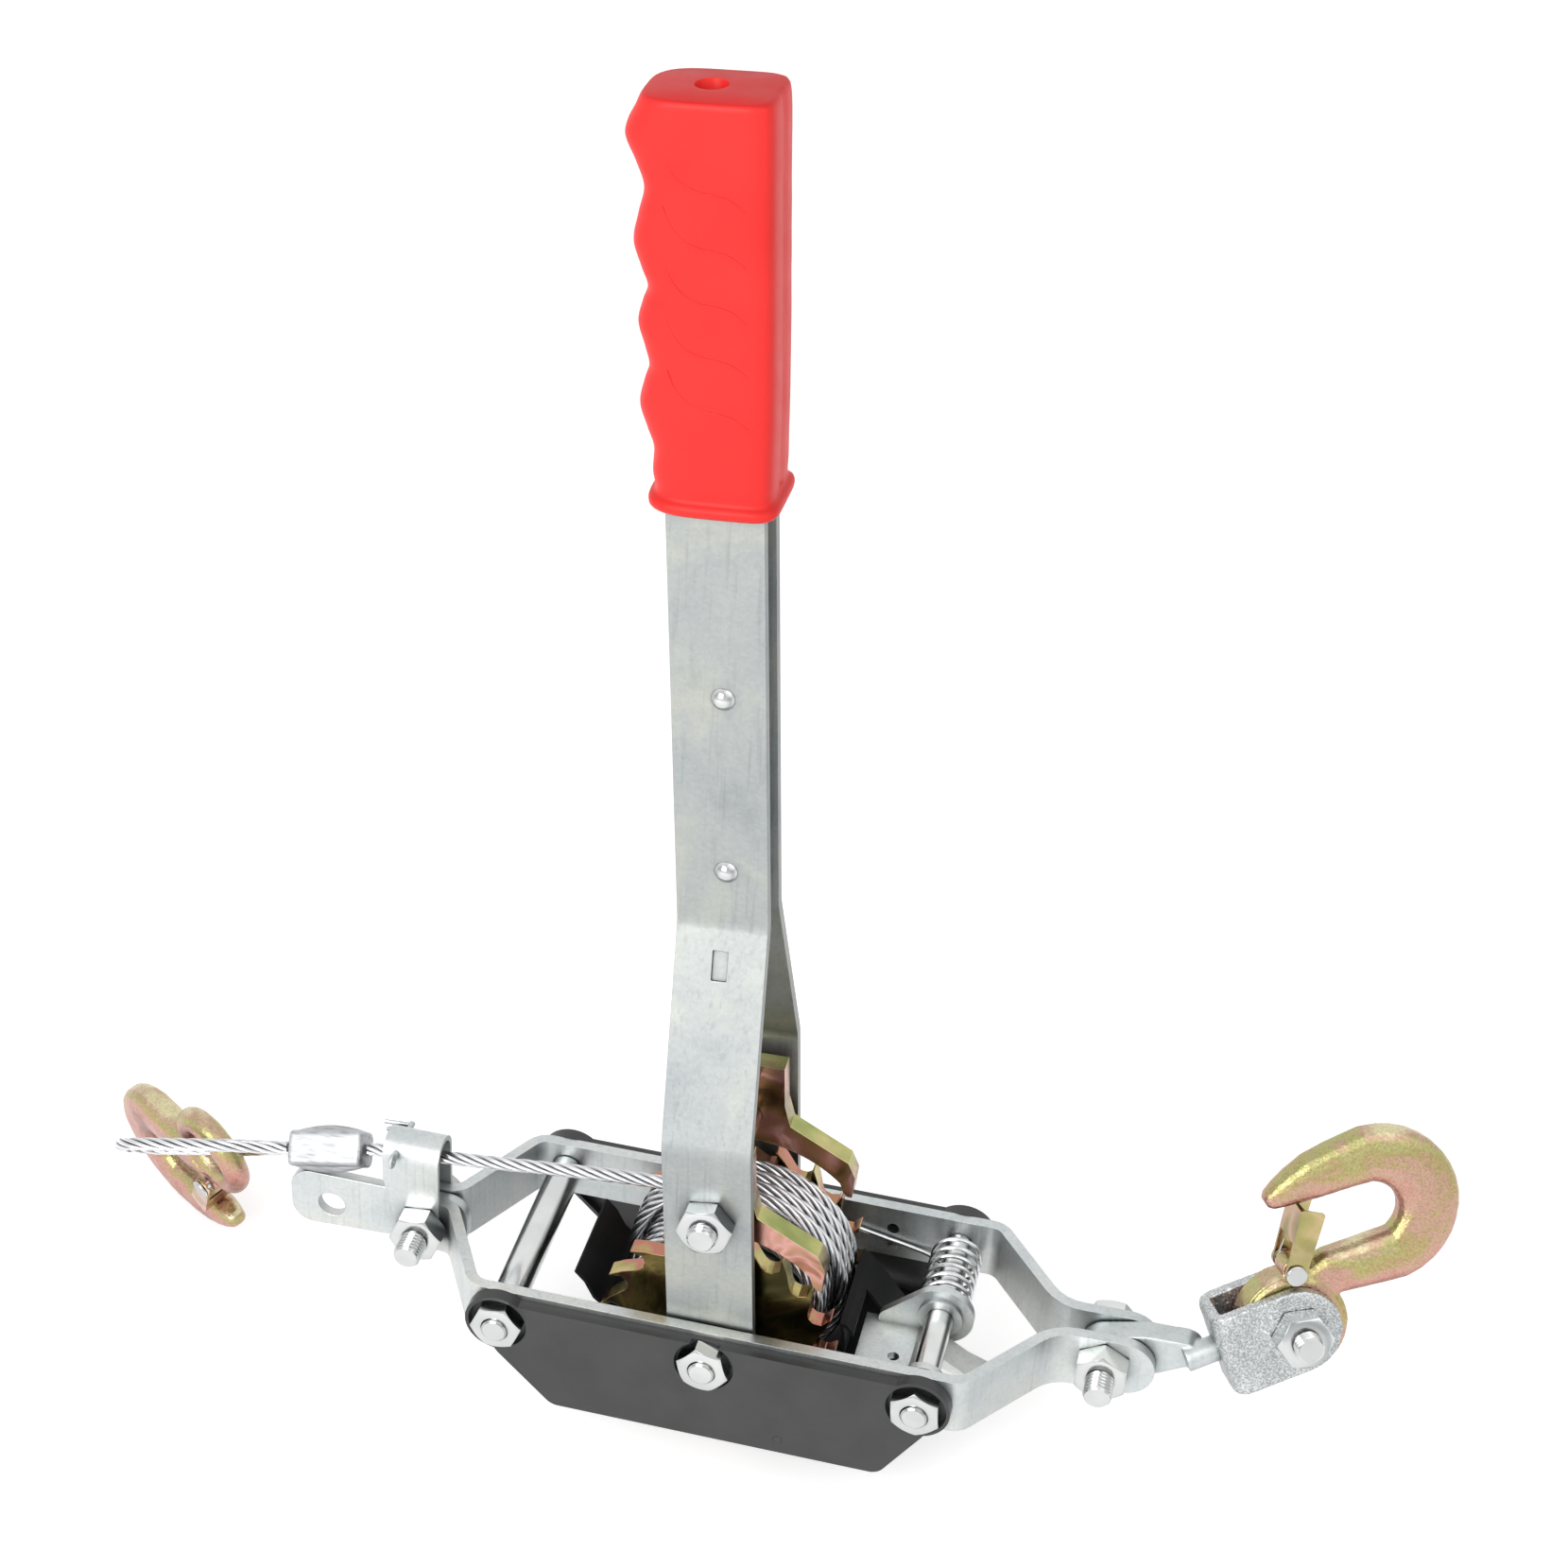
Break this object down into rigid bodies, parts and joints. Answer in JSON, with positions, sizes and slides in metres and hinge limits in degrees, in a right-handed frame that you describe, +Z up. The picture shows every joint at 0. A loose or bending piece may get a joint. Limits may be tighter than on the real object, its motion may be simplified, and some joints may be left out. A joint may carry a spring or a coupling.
{
  "type": "come along winch",
  "caption": "Hand-lever cable puller: steel frame, twin ratchet drum with wire rope, long lever with moulded grip, swivel clevis hook and cable hook",
  "frame": {"origin": "centre of the anchor plate's hole, by which the tool is held up", "axes": "+X along the pull from the cable end to the swivel hook, +Y along the drum axle away from the front cover, +Z up along the lever"},
  "size_m": [0.4903, 0.1066, 0.4812],
  "materials": {
    "zinc_plate": "bright zinc plate",
    "yellow_zinc": "iridescent yellow zinc plate",
    "black_paint": "satin black paint",
    "red_grip": "soft red vinyl",
    "wire_rope": "bare galvanised wire rope",
    "ferrule_alloy": "pressed aluminium",
    "spring_steel": "bright spring wire",
    "cast_zinc": "rough cast, zinc plated"
  },
  "bodies": {
    "frame": {"front_side_bar": "zinc_plate", "rear_side_bar": "zinc_plate", "front_cover": "black_paint", "rear_cover": "black_paint", "drum_guard": "black_paint", "guard_rivets": "black_paint", "axle_rod": "zinc_plate", "left_spacer_rod": "zinc_plate", "right_spacer_rod": "zinc_plate", "frame_nuts": "zinc_plate", "anchor_plate": "zinc_plate", "cable_guide_strap": "zinc_plate", "left_end_bolt": "zinc_plate", "left_end_nut": "zinc_plate", "cotter_pin": "zinc_plate", "right_end_bolt": "zinc_plate", "right_end_nut": "zinc_plate", "holding_pawl_spring": "spring_steel", "spring_pin": "zinc_plate", "free_cable": "wire_rope", "cable_ferrule": "ferrule_alloy", "cable_loop": "wire_rope"},
    "drum": {"drum_core": "zinc_plate", "front_ratchet_wheel": "yellow_zinc", "rear_ratchet_wheel": "yellow_zinc", "cable_winding": "wire_rope"},
    "handle": {"front_handle_strip": "zinc_plate", "rear_handle_strip": "zinc_plate", "handle_rivets": "zinc_plate", "grip": "red_grip", "drive_pawl_bolt": "zinc_plate", "drive_pawl_nut": "zinc_plate", "drive_pawl_spring": "spring_steel"},
    "drive_pawl_body": {"drive_pawl": "yellow_zinc"},
    "holding_pawl_body": {"holding_pawl": "zinc_plate"},
    "link": {"swivel_link": "zinc_plate"},
    "clevis_body": {"clevis": "cast_zinc", "clevis_bolt": "zinc_plate", "clevis_nut": "zinc_plate"},
    "right_hook_body": {"right_hook": "yellow_zinc", "right_latch_rivet": "zinc_plate", "right_latch_spring": "spring_steel"},
    "right_latch_body": {"right_latch": "yellow_zinc"},
    "left_hook_body": {"left_hook": "yellow_zinc", "left_latch_rivet": "zinc_plate", "left_latch_spring": "spring_steel"},
    "left_latch_body": {"left_latch": "yellow_zinc"}
  },
  "joints": [
    {"name": "handle_swing", "type": "hinge", "parent": "frame", "child": "handle", "pos_m": [0.1497, 0, 0.003], "axis": [0, 1, 0], "range_deg": [-35, 38]},
    {"name": "drum_spin", "type": "hinge", "parent": "frame", "child": "drum", "pos_m": [0.1497, 0, 0.003], "axis": [0, 1, 0], "continuous": true},
    {"name": "drive_pawl_lift", "type": "hinge", "parent": "handle", "child": "drive_pawl_body", "pos_m": [0.14657, 0, 0.05841], "axis": [0, -1, 0], "range_deg": [0, 20], "stiffness_Nm_per_rad": 0.08, "springref_deg": -34.38},
    {"name": "holding_pawl_release", "type": "hinge", "parent": "frame", "child": "holding_pawl_body", "pos_m": [0.2227, 0, 0.003], "axis": [0, -1, 0], "range_deg": [0, 14], "stiffness_Nm_per_rad": 0.08, "springref_deg": -34.38},
    {"name": "link_pivot", "type": "hinge", "parent": "frame", "child": "link", "pos_m": [0.2802, 0, 0.004], "axis": [0, -1, 0], "range_deg": [-32, 12]},
    {"name": "clevis_swivel", "type": "hinge", "parent": "link", "child": "clevis_body", "pos_m": [0.31614, 0.00004, 0.01403], "axis": [0.8426, 0.4238, 0.3322], "continuous": true},
    {"name": "right_hook_pivot", "type": "hinge", "parent": "clevis_body", "child": "right_hook_body", "pos_m": [0.33872, 0.0114, 0.02293], "axis": [0.329, -0.8935, 0.3055], "range_deg": [-70, 10]},
    {"name": "right_latch_open", "type": "hinge", "parent": "right_hook_body", "child": "right_latch_body", "pos_m": [0.33543, 0.01656, 0.04157], "axis": [-0.329, 0.8935, -0.3055], "range_deg": [0, 35], "stiffness_Nm_per_rad": 0.01, "springref_deg": -34.38},
    {"name": "left_hook_swing", "type": "hinge", "parent": "frame", "child": "left_hook_body", "pos_m": [-0.04959, 0.00853, 0.00536], "axis": [-0.9756, 0, -0.2196], "range_deg": [-30, 70]},
    {"name": "left_latch_open", "type": "hinge", "parent": "left_hook_body", "child": "left_latch_body", "pos_m": [-0.05136, 0.0151, -0.01295], "axis": [0.5368, 0.8044, 0.2546], "range_deg": [0, 35], "stiffness_Nm_per_rad": 0.01, "springref_deg": -34.38}
  ]
}
